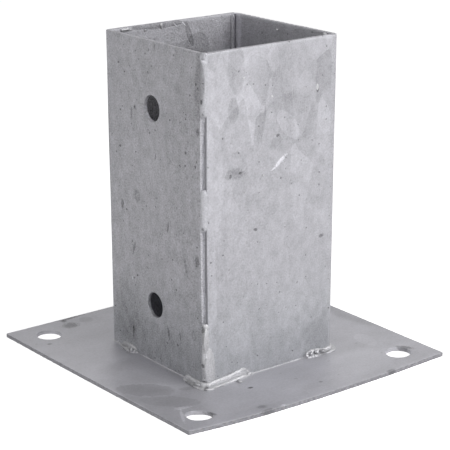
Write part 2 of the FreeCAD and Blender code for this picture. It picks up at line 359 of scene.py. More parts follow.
def grain_group():
    """Fine mottling, dark pinholes and short curled lines left in dull zinc."""
    tree, given, out = new_group("Zinc grain", [
        ("Vector", "vector", None), ("Grain size", "value", 1.4), ("Speck size", "value", 4.0),
        ("Speck share", "value", 0.5), ("Curl share", "value", 0.5)],
        [("Mottle", "value"), ("Specks", "value"), ("Curls", "value"), ("Height", "value")])
    place = vector_node(tree, "SCALE", given["Vector"],
                        scale=math_node(tree, "DIVIDE", 1.0, given["Grain size"]))
    mottle = noise_node(tree, place, 1.0, 3.0, 0.75)
    specks_at = vector_node(tree, "SCALE", given["Vector"],
                            scale=math_node(tree, "DIVIDE", 1.0, given["Speck size"]))
    bent = add_node(tree, "ShaderNodeTexNoise", {
        "Vector": specks_at, "Scale": 3.0, "Detail": 2.0}).outputs["Color"]
    specks_at = vector_node(tree, "ADD", specks_at, vector_node(tree, "SCALE", bent, scale=0.25))
    cells = add_node(tree, "ShaderNodeTexVoronoi", {"Vector": specks_at, "Scale": 1.0})
    split = add_node(tree, "ShaderNodeSeparateColor", {0: cells.outputs["Color"]})
    chosen = math_node(tree, "LESS_THAN", split.outputs[0], given["Speck share"])
    size = math_node(tree, "MULTIPLY_ADD", split.outputs[1], 0.1, 0.05)
    near = math_node(tree, "DIVIDE", cells.outputs["Distance"], size)
    specks = math_node(tree, "MULTIPLY", map_range(tree, near, 1.3, 0.6), chosen)
    tall = vector_node(tree, "MULTIPLY", given["Vector"], (0.45, 0.45, 0.26))
    lines = noise_node(tree, tall, 1.0, 1.5, 0.5, 0.6)
    lines = math_node(tree, "ABSOLUTE", math_node(tree, "SUBTRACT", lines, 0.5))
    lines = map_range(tree, lines, 0.022, 0.006)
    patch = noise_node(tree, vector_node(tree, "SCALE", given["Vector"], scale=0.13), 1.0, 2.0)
    limit = math_node(tree, "MULTIPLY_ADD", given["Curl share"], 0.3, 0.25)
    patch = math_node(tree, "LESS_THAN", patch, limit)
    curls = math_node(tree, "MULTIPLY", lines, patch)
    height = math_node(tree, "SUBTRACT", mottle, specks)
    height = math_node(tree, "SUBTRACT", height, math_node(tree, "MULTIPLY", curls, 0.5))
    for label, socket in (("Mottle", mottle), ("Specks", specks), ("Curls", curls), ("Height", height)):
        tree.links.new(socket, out[label])
    return tree


def mark_group():
    """One oval patch with a soft or ragged edge: a stain, a pit, a brush of bright zinc, or a patch of
    painted light or painted shade.
    """
    tree, given, out = new_group("Zinc mark and painted light", [
        ("Vector", "vector", None), ("Ragged edge", "value", 0.0), ("Centre", "vector", (0, 0, 0)),
        ("Half size", "vector", (1, 1, 1)), ("Turn", "vector", (0, 0, 0)),
        ("Softness", "value", 0.3), ("Strength", "value", -0.1),
        ("Hollow", "value", 0.0), ("Total", "value", 1.0)], [("Total", "value")])
    place = add_node(tree, "ShaderNodeMapping", {
        "Vector": given["Vector"], "Location": given["Centre"], "Rotation": given["Turn"],
        "Scale": given["Half size"]}, vector_type="TEXTURE").outputs[0]
    away = math_node(tree, "ADD", vector_node(tree, "LENGTH", place), given["Ragged edge"])
    mask = map_range(tree, away, math_node(tree, "ADD", 1.0, given["Softness"]),
                     math_node(tree, "SUBTRACT", 1.0, given["Softness"]))
    core = map_range(tree, away, math_node(tree, "SUBTRACT", 0.95, given["Softness"]), 0.2)
    core = math_node(tree, "SUBTRACT", 1.0, math_node(tree, "MULTIPLY", core, given["Hollow"]))
    mask = math_node(tree, "MULTIPLY", mask, core)
    tree.links.new(math_node(tree, "MULTIPLY_ADD", mask, given["Strength"], given["Total"]), out["Total"])
    return tree


def group(name, maker):
    """The named node group, built the first time that it is asked for."""
    return bpy.data.node_groups.get(name) or maker()


def add_group(tree, name, maker, sockets):
    """Outputs of a node group placed in a tree."""
    node = tree.nodes.new("ShaderNodeGroup")
    node.node_tree = group(name, maker)
    for key, value in sockets.items():
        if isinstance(value, bpy.types.NodeSocket):
            tree.links.new(value, node.inputs[key])
        else:
            node.inputs[key].default_value = value
    return node.outputs


def start_material(name):
    """A new material, its nodes, its shader and a place on the piece in mm."""
    material = bpy.data.materials.new(name)
    material.use_nodes = True
    tree = material.node_tree
    shader = tree.nodes["Principled BSDF"]
    place = add_node(tree, "ShaderNodeTexCoord").outputs["Object"]
    return material, tree, shader, vector_node(tree, "SCALE", place, scale=1000.0)


MARK_KINDS = {
    # kind: softness of the edge, raggedness, hollowness
    "patch": (0.06, 0.3, 0.0),
    "cloud": (0.45, 0.7, 0.0),
    "stain": (0.08, 0.8, 0.0),
    "pit": (0.35, 1.1, 0.0),
    "ring": (0.2, 0.5, 1.0),
    "scratch": (0.4, 1.9, 0.0),
}


def face_marks(tree, place, total, face):
    """Adds a face's marks to its tone: stains, pits, scratches and bright zinc, and in places painted light
    and painted shade.
    """
    coarse = noise_node(tree, vector_node(tree, "SCALE", place, scale=0.22), 1.0, 3.0)
    fine = noise_node(tree, vector_node(tree, "SCALE", place, scale=1.3), 1.0, 2.0)
    wall, inside = SLEEVE_HALF / MM, (SLEEVE_HALF - SHEET) / MM
    ragged_edge = {}
    for kind, across, up, wide, tall, turn, strength in MARKS[face]:
        soft, ragged, hollow = MARK_KINDS[kind]
        if kind not in ragged_edge:
            noise_value = coarse if kind in ("patch", "cloud", "stain") else fine
            centred = math_node(tree, "SUBTRACT", noise_value, 0.5)
            ragged_edge[kind] = math_node(tree, "MULTIPLY", centred, ragged)
        turn = math.radians(turn)
        if face in ("front", "rear"):
            spot = {"Centre": (across, -wall if face == "front" else inside, up),
                    "Half size": (wide, 1.8 if face == "front" else 1.0, tall), "Turn": (0, -turn, 0)}
        elif face in ("left", "right"):
            spot = {"Centre": (-wall if face == "left" else inside + 0.6, across, up),
                    "Half size": (1.8 if face == "left" else 1.2, wide, tall), "Turn": (turn, 0, 0)}
        elif face == "seam":
            spot = {"Centre": (-wall, across, up), "Half size": (2.4, wide, tall), "Turn": (0, 0, 0)}
        else:
            spot = {"Centre": (across, up, 3), "Half size": (wide, tall, 9), "Turn": (0, 0, turn)}
        total = add_group(tree, "Zinc mark and painted light", mark_group, {
            "Vector": place, "Ragged edge": ragged_edge[kind], "Softness": soft,
            "Strength": strength, "Hollow": hollow, "Total": total, **spot})["Total"]
    return total


MARKS = {
    # kind, across, up, half width, half height (mm), turn (degrees), strength
    "front": [
        # The clouds at (30, 12) and (0, 6) are painted shade at the foot of the wall, where the plate shuts
        # out light from below.
        ("cloud", 14, 140, 22, 15, 0, -0.12), ("cloud", 30, 12, 9, 10, 20, -0.14),
        ("cloud", 0, 6, 34, 11, 0, -0.10), ("patch", -20, 146, 4.6, 12, 3, -0.15),
        ("patch", -11, 138, 8, 15, -12, 0.09), ("patch", -21.5, 127, 2.9, 5.8, 0, -0.16),
        ("patch", -10, 124, 3.4, 4.6, 25, -0.09), ("patch", 9, 118, 17, 12.5, 10, -0.11),
        ("patch", 9.5, 116.5, 4.2, 8.5, 42, 0.15), ("patch", 19.5, 134, 4, 6, 0, 0.07),
        ("patch", 31.5, 119, 4.6, 10, 0, 0.07), ("patch", -17, 115.5, 9, 7.5, 0, 0.06),
        ("patch", -31, 96, 4.2, 34, 2, 0.065), ("patch", -34, 44, 3.2, 36, 0, 0.07),
        ("patch", 16, 75, 3.2, 9.5, 8, 0.06), ("ring", -19.8, 103.5, 5.2, 5.4, 0, -0.12),
        ("scratch", -20.3, 98.6, 4.8, 2.2, 0, -0.25), ("pit", -23, 97.8, 0.6, 0.9, -20, -0.4),
        # The cloud at (36.6, 50) is a painted highlight: a thin light line along the fold at the wall's
        # right-hand edge.
        ("pit", -17.6, 98.5, 0.9, 0.6, 0, -0.4), ("cloud", 36.6, 50, 0.8, 34, 0, 0.14),
        ("pit", 3.5, 112.5, 0.9, 0.7, 0, -0.5), ("pit", -9, 71, 1.1, 0.7, -10, -0.5),
        ("pit", 30, 60.5, 1.6, 0.8, 10, -0.45), ("pit", 26.5, 130, 0.7, 1.2, 0, -0.5),
        ("scratch", 4.8, 100.2, 4.8, 0.85, 37, 0.62),
    ],
    "left": [
        # The clouds at (24, 20), (-5, 12) and (-35, 20) are painted shade at the foot of the wall, where the
        # plate shuts out light from below.
        ("cloud", 24, 20, 10, 16, 0, -0.16), ("cloud", -5, 12, 30, 10, 0, -0.12),
        ("cloud", -20, 125, 16, 26, 0, -0.05), ("cloud", 4, 98, 16, 10, 0, 0.05),
        ("cloud", -13, 49, 8, 6, 0, 0.06), ("cloud", -35.5, 140, 4, 15, 0, -0.3),
        ("cloud", -35, 20, 2.4, 22, 0, -0.12), ("ring", 13.5, 80.5, 2.4, 3, 10, -0.22),
        ("ring", -29, 24.5, 1.6, 2.6, 0, -0.22), ("pit", 17, 118.5, 0.8, 3, 3, -0.38),
        ("pit", 14, 122, 0.9, 1.2, 0, -0.38), ("pit", -33.5, 119.5, 1, 1.8, 0, -0.45),
        ("pit", -24.5, 108.5, 0.7, 0.7, 0, -0.5), ("pit", -1.5, 102, 0.5, 1.6, 15, -0.45),
        ("pit", 26, 73.5, 1, 2.4, 0, -0.42), ("pit", -10.5, 71, 0.6, 2.8, 12, -0.38),
        ("pit", 17, 54.5, 0.8, 3.4, 20, -0.38), ("pit", -24, 56, 0.9, 4.4, -14, -0.3),
        ("pit", -32.5, 60.5, 1.5, 2.6, -5, -0.4), ("pit", 19, 12.5, 0.6, 3.2, 5, -0.42),
        ("pit", -9.5, 20, 0.7, 3.2, -12, -0.38), ("pit", -18.5, 21, 0.5, 2, -5, -0.38),
        ("pit", -2, 151.5, 0.5, 1.5, 5, -0.45), ("pit", 19, 39, 0.8, 0.8, 0, 0.3),
    ],
    "rear": [
        # The large cloud at (-10, 108) is painted shade on the inside of the rear wall, deep in the sleeve.
        ("cloud", -10, 108, 36, 30, 0, -0.6), ("patch", -9, 152.8, 15, 1.7, -1, -0.3),
        ("patch", 9.2, 146.5, 1.5, 6.5, 20, -0.28), ("patch", -6, 146, 14, 3.8, -3, 0.08),
        ("patch", 14, 140, 7, 7, 0, -0.2), ("scratch", 1, 152, 1.5, 0.3, -45, 0.6),
        ("scratch", 6, 152, 1.6, 0.3, -45, 0.7),
    ],
    "right": [
        ("pit", -22, 152.5, 0.8, 0.5, 0, -0.4), ("cloud", 10, 148, 14, 3, 0, -0.04),
        # The cloud at (33, 140) is painted light on the inner wall beside the run of zinc in the rear corner,
        # laid over the shade between them.
        ("cloud", 33.0, 140, 2.8, 30, 0, 0.45),
    ],
    "plate": [
        # The cloud at (-46, 2) is painted light that thins the shadow of the -X wall on the plate.
        ("cloud", -46, 2, 9, 30, 0, 0.09), ("cloud", 40, -56, 24, 12, 0, 0.08),
        ("cloud", -30, -72, 10, 4, 0, -0.1), ("cloud", 60, -20, 9, 24, 0, 0.05),
        ("stain", -61.5, -24.5, 13, 7.5, -31, -0.2), ("stain", -60, -41, 13, 6.5, -32, -0.11),
        ("stain", -44.5, -32.6, 3.6, 1.8, -20, -0.16), ("patch", 58, -39, 8, 4, 80, 0.07),
        ("patch", -33.5, 67.3, 3.5, 3.7, 0, -0.11), ("ring", -61, -24, 16.5, 9, -31, 0.09),
        ("ring", 78, -14, 10, 26, 8, -0.14), ("scratch", -38, 74, 6.5, 1.4, 6, -0.45),
        ("pit", -43.5, 72, 1.4, 1.2, 0, -0.5), ("scratch", -44, 65.3, 3.8, 3.2, 0, -0.45),
        ("pit", -65.5, 50, 1.3, 1, 0, -0.4), ("pit", -21.5, -49.5, 1.2, 0.9, 0, -0.75),
        ("pit", -31.5, -70, 2.2, 1.6, 0, -0.3), ("pit", -32, -74.5, 3, 1.2, 10, -0.3),
        ("pit", 7.5, -64, 0.9, 0.8, 0, -0.35), ("pit", 41.5, -74.5, 2.4, 1, 0, -0.4),
        ("pit", 65.3, -58.9, 1.5, 3.8, 32, -0.5), ("pit", -53.9, -61.7, 1.3, 3.6, 12, -0.5),
        ("scratch", -22.5, -74, 1.2, 0.8, 0, 0.5), ("scratch", -66, -58.4, 0.7, 7.4, -30, 0.35),
        ("scratch", -59.5, -50, 4.2, 1.4, 0, 0.3),
    ],
    "seam": [
        ("patch", -35.2, 141, 2, 10, 0, -0.30), ("cloud", -36.8, 84, 0.8, 12, 0, 0.12),
        ("patch", -35, 27, 1.6, 5, 0, -0.22), ("pit", -36, 133, 0.5, 0.9, 0, -0.5),
        ("pit", -36.5, 127.5, 0.4, 0.6, 0, -0.4), ("scratch", -36.6, 150.5, 0.9, 0.9, 0, 0.6),
        ("scratch", -36.6, 120, 0.5, 1.2, 0, 0.5), ("pit", -36.2, 76.5, 0.5, 0.7, 0, -0.5),
        ("scratch", -36.8, 17, 0.7, 1.4, 0, 0.4), ("pit", -36, 12.5, 1, 0.9, 0, -0.6),
        ("pit", -36.5, 4.5, 1.2, 0.9, 0, -0.6), ("pit", -35.5, 29.5, 1, 1.6, 0, -0.4),
    ],
    "foot": [
        ("pit", -40, -40, 1, 1, 0, -0.5), ("pit", -38.5, -39, 1.3, 0.9, 0, -0.5),
        ("cloud", -41.5, -31, 3, 7, 0, -0.2), ("pit", -41, -26, 0.6, 8, 0, -0.35),
        ("pit", -30, -41, 6, 0.5, 0, -0.3), ("cloud", -40.5, 27, 3, 9, 0, -0.38),
        ("pit", 31.5, -40, 3.5, 0.5, 8, -0.45),
    ],
}


WALL_LOOKS = {
    # tone, crystals' contrast at the foot and at the top, grain, mottling and specks of each wall
    # The left wall's tone of 0.94 is painted shade that darkens the whole -X wall.
    "front": (1.0, 0.09, 0.22, 0.85, 0.5, -0.5), "left": (0.94, 0.04, 0.06, 1.6, 0.65, -0.6),
    "rear": (1.0, 0.05, 0.1, 1.15, 0.32, -0.34), "right": (1.0, 0.05, 0.07, 1.15, 0.32, -0.34),
}


def finish_zinc(tree, shader, colour, total, warm, roughness, height, bump, metallic=0.45):
    """Feeds the tones, roughness and relief of a zinc coat into its shader."""
    cool = vector_node(tree, "SCALE", (*colour,), scale=total)
    tint = vector_node(tree, "ADD", (1, 1, 1), vector_node(tree, "SCALE", (0.012, 0.0, 0.006), scale=warm))
    tree.links.new(vector_node(tree, "MULTIPLY", cool, tint), shader.inputs["Base Color"])
    tree.links.new(roughness, shader.inputs["Roughness"])
    shader.inputs["Metallic"].default_value = metallic
    relief = add_node(tree, "ShaderNodeBump", {"Strength": 1.0, "Distance": bump, "Height": height})
    tree.links.new(relief.outputs[0], shader.inputs["Normal"])


def sheet_zinc(name, colour, face):
    """Dull zinc of the walls: crystals, mottling, pinholes, curled lines, painted shade at the foot and
    painted light and shade on the end faces in the seam groove.
    """
    material, tree, shader, place = start_material(name)
    large = add_group(tree, "Zinc spangle", spangle_group, {
        "Vector": place, "Size": 9.0, "Stretch": 2.0, "Waviness": 0.35})["Tone"]
    small = noise_node(tree, vector_node(tree, "MULTIPLY", place, (0.24, 0.24, 0.16)), 1.0, 3.0)
    grain = add_group(tree, "Zinc grain", grain_group, {
        "Vector": place, "Grain size": 0.8, "Speck size": 3.9, "Speck share": 0.6, "Curl share": 0.5})
    split = add_node(tree, "ShaderNodeSeparateXYZ", {0: place}).outputs
    tone, crystals_low, crystals_high, mottle, mottling, specks = WALL_LOOKS[face]
    crisp = map_range(tree, split["Z"], 60, 125, crystals_low, crystals_high)
    total = math_node(tree, "MULTIPLY_ADD", math_node(tree, "SUBTRACT", large, 0.5), crisp, tone)
    total = math_node(tree, "MULTIPLY_ADD", math_node(tree, "SUBTRACT", small, 0.5), mottling, total)
    total = math_node(tree, "MULTIPLY_ADD", math_node(tree, "SUBTRACT", grain["Mottle"], 0.5), mottle, total)
    total = math_node(tree, "MULTIPLY_ADD", grain["Specks"], specks, total)
    total = math_node(tree, "MULTIPLY_ADD", grain["Curls"], -0.13, total)
    total = face_marks(tree, place, total, face)
    normal = add_node(tree, "ShaderNodeSeparateXYZ", {
        0: add_node(tree, "ShaderNodeTexCoord").outputs["Normal"]}).outputs
    # Painted light and shade in the seam groove: faces of the left wall that turn towards -Y, chiefly its end
    # face, are painted lighter, and faces of the front wall that turn towards -X, chiefly its end face deep
    # in the corner, are painted darker.
    if face == "left":
        painted_end_light = map_range(tree, normal["Y"], -0.4, -0.8, 1.0, 1.35)
        total = math_node(tree, "MULTIPLY", total, painted_end_light)
    if face == "front":
        painted_end_light = map_range(tree, normal["X"], -0.4, -0.8, 1.0, 0.7)
        total = math_node(tree, "MULTIPLY", total, painted_end_light)
    rough = map_range(tree, grain["Mottle"], 0.3, 0.7, 0.42, 0.56, kind="LINEAR")
    warm = map_range(tree, split["Z"], 5, 60, -1.0, 1.0)
    finish_zinc(tree, shader, colour, total, warm, rough, total, 0.0003)
    return material


def plate_zinc(name, colour, face):
    """Zinc of the base plate: smoother and stained, with painted shade and more roughness on its edge faces.
    """
    material, tree, shader, place = start_material(name)
    large = add_group(tree, "Zinc spangle", spangle_group, {
        "Vector": place, "Size": 11.0, "Stretch": 1.0, "Waviness": 0.6})["Tone"]
    grain = add_group(tree, "Zinc grain", grain_group, {
        "Vector": place, "Grain size": 1.0, "Speck size": 6.5, "Speck share": 0.35, "Curl share": 0.12})
    streaks = noise_node(tree, vector_node(tree, "MULTIPLY", place, (0.05, 0.11, 0.1)), 1.0, 4.0)
    total = math_node(tree, "MULTIPLY_ADD", math_node(tree, "SUBTRACT", large, 0.5), 0.05, 1.0)
    total = math_node(tree, "MULTIPLY_ADD", math_node(tree, "SUBTRACT", streaks, 0.5), 0.3, total)
    total = math_node(tree, "MULTIPLY_ADD", math_node(tree, "SUBTRACT", grain["Mottle"], 0.5), 0.5, total)
    total = math_node(tree, "MULTIPLY_ADD", grain["Specks"], -0.2, total)
    total = math_node(tree, "MULTIPLY_ADD", grain["Curls"], -0.06, total)
    total = face_marks(tree, place, total, face)
    normal = add_node(tree, "ShaderNodeTexCoord").outputs["Normal"]
    lean = math_node(tree, "ABSOLUTE", add_node(tree, "ShaderNodeSeparateXYZ", {0: normal}).outputs["Z"])
    # Painted shade on the plate's edge faces, picked by how far they turn from level: full at the outer
    # edges, a fifth as strong on the hole walls, and varied by noise. The same mask makes these faces
    # rougher.
    edge_shade_and_roughness = map_range(tree, lean, 0.75, 0.25)
    split = add_node(tree, "ShaderNodeSeparateXYZ", {0: place}).outputs
    reach = math_node(tree, "MAXIMUM", math_node(tree, "ABSOLUTE", split["X"]),
                      math_node(tree, "ABSOLUTE", split["Y"]))
    edge_shade_and_roughness = math_node(tree, "MULTIPLY", edge_shade_and_roughness, map_range(tree, reach, 70, 72, 0.2, 1.0))
    edge_shade_noise = noise_node(tree, vector_node(tree, "MULTIPLY", place, (0.6, 0.6, 1.5)), 1.0, 3.0)
    edge = map_range(tree, edge_shade_noise, 0.3, 0.7, 0.45, 0.85, kind="LINEAR")
    shade = math_node(tree, "MULTIPLY_ADD", edge_shade_and_roughness, math_node(tree, "SUBTRACT", edge, 1.0), 1.0)
    total = math_node(tree, "MULTIPLY", total, shade)
    rough = map_range(tree, grain["Mottle"], 0.3, 0.7, 0.42, 0.55, kind="LINEAR")
    rough = math_node(tree, "MULTIPLY_ADD", edge_shade_and_roughness, 0.25, rough)
    finish_zinc(tree, shader, colour, total, 1.0, rough, total, 0.00025, metallic=0.4)
    return material


def weld_zinc(name, colour, face):
    """Bright lumpy zinc on the weld beads."""
    material, tree, shader, place = start_material(name)
    grain = add_group(tree, "Zinc grain", grain_group, {
        "Vector": place, "Grain size": 0.8, "Speck size": 1.8, "Speck share": 0.55, "Curl share": 0.0})
    total = math_node(tree, "MULTIPLY_ADD", math_node(tree, "SUBTRACT", grain["Mottle"], 0.5), 1.1, 1.0)
    total = math_node(tree, "MULTIPLY_ADD", grain["Specks"], -0.5, total)
    total = face_marks(tree, place, total, face)
    rough = map_range(tree, grain["Mottle"], 0.3, 0.7, 0.3, 0.5, kind="LINEAR")
    finish_zinc(tree, shader, colour, total, 0.5, rough, total, 0.0003, metallic=0.5)
    return material


def material_for(name, maker, *values):
    """The named material, made the first time that it is asked for."""
    return bpy.data.materials.get(name) or maker(name, *values)


# ------------------------------------------------------------------ pieces

def plate_lift(settings, x, y):
    """How far the plate has bent up at a place: nothing under the sleeve, most at the near corner."""
    s = (1 - x / PLATE_HALF) / 2
    t = (1 - y / PLATE_HALF) / 2
    beyond = smoothstep(SLEEVE_HALF + 2 * MM, PLATE_HALF + 8 * MM, max(abs(x), abs(y))) * 1.12
    left = settings.side_lift + (settings.near_lift - settings.side_lift) * max(t, 0) ** 1.4
    right = settings.side_lift + 0.3 * MM * math.sin(math.pi * t) - 0.3 * MM * t
    share = max(s, 0) ** (1 + 3 * t)
    sag = (0.3 + 0.35 * t) * MM * 4 * s * (1 - s)
    far = 0.35 * MM * smoothstep(SLEEVE_HALF, PLATE_HALF, x)
    return beyond * max(0.0, left * share + right * (1 - share) - sag) + far


def build_plate(context):
    """Builds the warped base plate."""
    settings = context.scene.post_base.plate
    bm = bmesh.new()
    cells = round(2 * PLATE_HALF / settings.cell)
    bmesh.ops.create_grid(bm, x_segments=cells, y_segments=cells, size=PLATE_HALF,
                          matrix=Matrix.Translation((0, 0, PLATE_HIGH.z)))
    for sx in (-1, 1):
        for sy in (-1, 1):
            open_hole(bm, Vector((sx * settings.hole_x, sy * settings.hole_y, PLATE_HIGH.z)),
                      Matrix.Identity(4), settings.hole_radius, settings.hole_radius * HOLE_BLOCK)
    for face in bm.faces:
        if face.normal.z < 0:
            face.normal_flip()
    extruded = bmesh.ops.extrude_face_region(bm, geom=bm.faces[:], use_keep_orig=True)["geom"]
    low = [g for g in extruded if isinstance(g, bmesh.types.BMVert)]
    bmesh.ops.translate(bm, vec=(0, 0, -SHEET), verts=low)
    bmesh.ops.recalc_face_normals(bm, faces=bm.faces)
    corners = [e for e in bm.edges if abs(e.verts[0].co.z - e.verts[1].co.z) > SHEET / 2
               and min(abs(e.verts[0].co.x), abs(e.verts[0].co.y)) > PLATE_HALF - 0.1 * MM]
    near = [e for e in corners if e.verts[0].co.x < 0 and e.verts[0].co.y < 0]
    for edges, radius in ((near, NEAR_CORNER), ([e for e in corners if e not in near], PLATE_CORNER)):
        bmesh.ops.bevel(bm, geom=edges, offset=radius, affect="EDGES", segments=3,
                        profile=0.5, material=-1)
    sharp = [e for e in bm.edges if len(e.link_faces) == 2
             and e.calc_face_angle(0) > SHARP_FOLD]
    outer = [e for e in sharp if max(abs(e.verts[0].co.x), abs(e.verts[0].co.y)) > PLATE_HALF - MM
             and e.verts[0].co.z > PLATE_HIGH.z - MM / 2]
    inner = [e for e in sharp if e not in outer]
    for edges, offset, steps in ((outer, PLATE_RIM, 4), (inner, PLATE_EDGE, 2)):
        bmesh.ops.bevel(bm, geom=edges, offset=offset, affect="EDGES", segments=steps,
                        profile=0.5, material=-1, clamp_overlap=True)
    for v in bm.verts:
        x, y, z = v.co
        edge = smoothstep(PLATE_HALF - 3 * MM, PLATE_HALF, max(abs(x), abs(y)))
        edge *= 1 - smoothstep(PLATE_HALF - 8 * MM, PLATE_HALF - 2 * MM, min(abs(x), abs(y)))
        inward = 0.22 * MM * (0.6 + ripple((x, y, z), 2.2 * MM, 3)) * edge
        if abs(x) > abs(y):
            v.co.x -= math.copysign(max(0, inward), x)
        else:
            v.co.y -= math.copysign(max(0, inward), y)
        v.co.z += plate_lift(settings, x, y)
        v.co.z = max(v.co.z, 0.0)
    material = material_for("plate_coat", plate_zinc, context.scene.post_base.zinc.plate_colour, "plate")
    finish_piece("plate_sheet", bm, [material], ["base_plate"])


def angle_skin(settings, hole_side):
    """The outer skin of one folded angle: the left wall, its fold and the rear wall."""
    bm = bmesh.new()
    half, radius = SLEEVE_HALF, settings.fold_radius
    start, fold = -(half - SHEET), half - radius
    foot, top = SLEEVE_FOOT, SLEEVE_TOP
    up = round((top - foot) / settings.cell)
    along = round((fold - start) / settings.cell)
    across, height = (start + fold) / 2, (foot + top) / 2
    to_wall = Matrix(((0, 0, -1, -half), (1, 0, 0, across), (0, 1, 0, height), (0, 0, 0, 1)))
    stretch = Matrix.Diagonal(((fold - start) / 2, (top - foot) / 2, 1, 1))
    bmesh.ops.create_grid(bm, x_segments=along, y_segments=up, size=1, matrix=to_wall @ stretch)
    edge = [e for e in bm.edges if all(abs(v.co.y - fold) < 1e-6 for v in e.verts)]
    bmesh.ops.spin(bm, geom=edge, cent=(-fold, fold, 0), axis=(0, 0, 1),
                   angle=-math.pi / 2, steps=6)
    rear = Matrix(((1, 0, 0, -across), (0, 0, 1, half), (0, 1, 0, height), (0, 0, 0, 1)))
    bmesh.ops.create_grid(bm, x_segments=along, y_segments=up, size=1, matrix=rear @ stretch)
    bmesh.ops.remove_doubles(bm, verts=bm.verts, dist=0.02 * MM)
    turn = Matrix(((0, 0, -1, 0), (1, 0, 0, 0), (0, 1, 0, 0), (0, 0, 0, 1)))
    for height in (settings.hole_low, settings.hole_high):
        open_hole(bm, Vector((-half, hole_side, height)), turn, settings.hole_radius,
                  settings.hole_radius * HOLE_BLOCK)
    return bm


def bow_seam(bm):
    """Bows the sleeve a little sideways along its front seam, most at mid-height."""
    for v in bm.verts:
        away = math.hypot(v.co.x + SLEEVE_HALF, v.co.y + SLEEVE_HALF)
        height = min(1, max(0, v.co.z / SLEEVE_TOP))
        share = (1 - smoothstep(0, BOW_REACH, away)) * math.sin(math.pi * height)
        v.co.x -= BOW_X * share
        v.co.y += BOW_Y * share


def build_angle(context, side):
    """Builds one folded angle of the sleeve."""
    settings = context.scene.post_base.sleeve
    zinc = context.scene.post_base.zinc
    off = settings.hole_off
    bm = angle_skin(settings, off if side == "left" else -off)
    bmesh.ops.recalc_face_normals(bm, faces=bm.faces)
    sample = min(bm.faces, key=lambda f: f.calc_center_median().x)
    if sample.normal.x > 0:
        bmesh.ops.reverse_faces(bm, faces=bm.faces)
    bmesh.ops.solidify(bm, geom=bm.faces[:], thickness=SHEET)
    bmesh.ops.recalc_face_normals(bm, faces=bm.faces)
    sharp = [e for e in bm.edges if len(e.link_faces) == 2
             and e.calc_face_angle(0) > SHARP_FOLD]
    bmesh.ops.bevel(bm, geom=sharp, offset=WALL_EDGE, affect="EDGES", segments=2,
                    profile=0.5, material=-1, clamp_overlap=True)
    if side == "right":
        bmesh.ops.rotate(bm, verts=bm.verts, cent=(0, 0, 0), matrix=Matrix.Rotation(math.pi, 3, "Z"))
    seed = 11 if side == "left" else 23
    for v in bm.verts:
        x, y, z = v.co
        bow = 0.12 * MM * ripple((x, y, z), 38 * MM, seed)
        v.co += v.normal * bow
        top = smoothstep(SLEEVE_TOP - 1.2 * MM, SLEEVE_TOP, z)
        v.co.z -= top * 0.12 * MM * max(0, 0.5 + ripple((x, y, z), 3 * MM, seed + 1))
        if side == "right":
            outward = settings.spread + settings.lean * z / SLEEVE_TOP
            v.co.x += outward * smoothstep(-SLEEVE_HALF, SLEEVE_HALF, x)
        v.co.z = min(max(v.co.z, SLEEVE_FOOT - 0.2 * MM), SLEEVE_TOP)
    bow_seam(bm)
    walls = ("left", "rear") if side == "left" else ("front", "right")
    for face in bm.faces:
        middle = face.calc_center_median()
        face.material_index = int((middle.y if side == "left" else middle.x) > SLEEVE_HALF - SHEET - MM / 2)
    materials = [material_for(f"{wall}_wall_coat", sheet_zinc, zinc.sheet_colour, wall) for wall in walls]
    finish_piece(f"{side}_angle_sheet", bm, materials, [f"sleeve_angle_{side}"])


def seam_section(angle):
    """Reach of a seam bead's section: round outside, drawn in to the root inside the sleeve."""
    turn = math.degrees(abs((angle + math.pi) % math.tau - math.pi))
    return 1.0 - 0.75 * smoothstep(56, 85, turn)


def seam_frames(sign, controls, low, high):
    """Placements of a seam bead's section from low to high; SEAM_BEADS says what controls hold."""
    inner = SLEEVE_HALF - SHEET
    out = Vector((sign, sign, 0)).normalized()
    side = Vector((-sign, sign, 0)).normalized()
    count = max(4, round((high - low) / (0.6 * MM)))
    frames = []
    for k in range(count + 1):
        z = low + (high - low) * k / count
        radius, shift = between(controls, z / MM)
        end = min(1.0, 0.7 + 0.2 * min(k, count - k))
        base = Vector((sign * inner, sign * inner, z)) + side * shift * MM
        turn = Matrix((out, side, Vector((0, 0, 1)))).transposed().to_4x4()
        frames.append(Matrix.Translation(base) @ turn @ Matrix.Scale(radius * MM * end, 4))
    return frames


SEAM_BEADS = {
    # name: lumpiness in mm, controls of (height, radius, sideways shift) in mm
    "upper": (0.07, [(126, 1.95, 0), (130, 2.02, 0), (150, 2.02, 0), (152, 2.15, 0), (154, 2.1, 0)]),
    "middle": (0.05, [(75, 1.95, 0), (78, 2.01, 0), (91, 2.0, 0), (94, 1.9, 0)]),
    "lower": (0.28, [(2, 2.5, 0), (6, 2.2, 0), (12, 2.4, 0.1), (17, 2.25, 0.1), (20, 2.02, 0),
                     (32, 1.95, 0)]),
}


SEAM_DROPS = {
    # name: (centre, half size, lumpiness, seed) in mm, mirrored for the front seam
    "upper": [((36.7, 37.1, 152.6), (0.9, 0.7, 1.3), 0.5, 2), ((37.1, 36.6, 150.8), (0.6, 0.7, 1.1), 0.5, 6)],
    "middle": [],
    "lower": [((37.4, 36.0, 13), (0.6, 1.3, 4.0), 0.3, 4), ((34.8, 37.3, 11), (3.0, 0.75, 10), 0.22, 8),
              ((36.4, 37.3, 24), (1.6, 0.5, 6), 0.25, 3)],
}


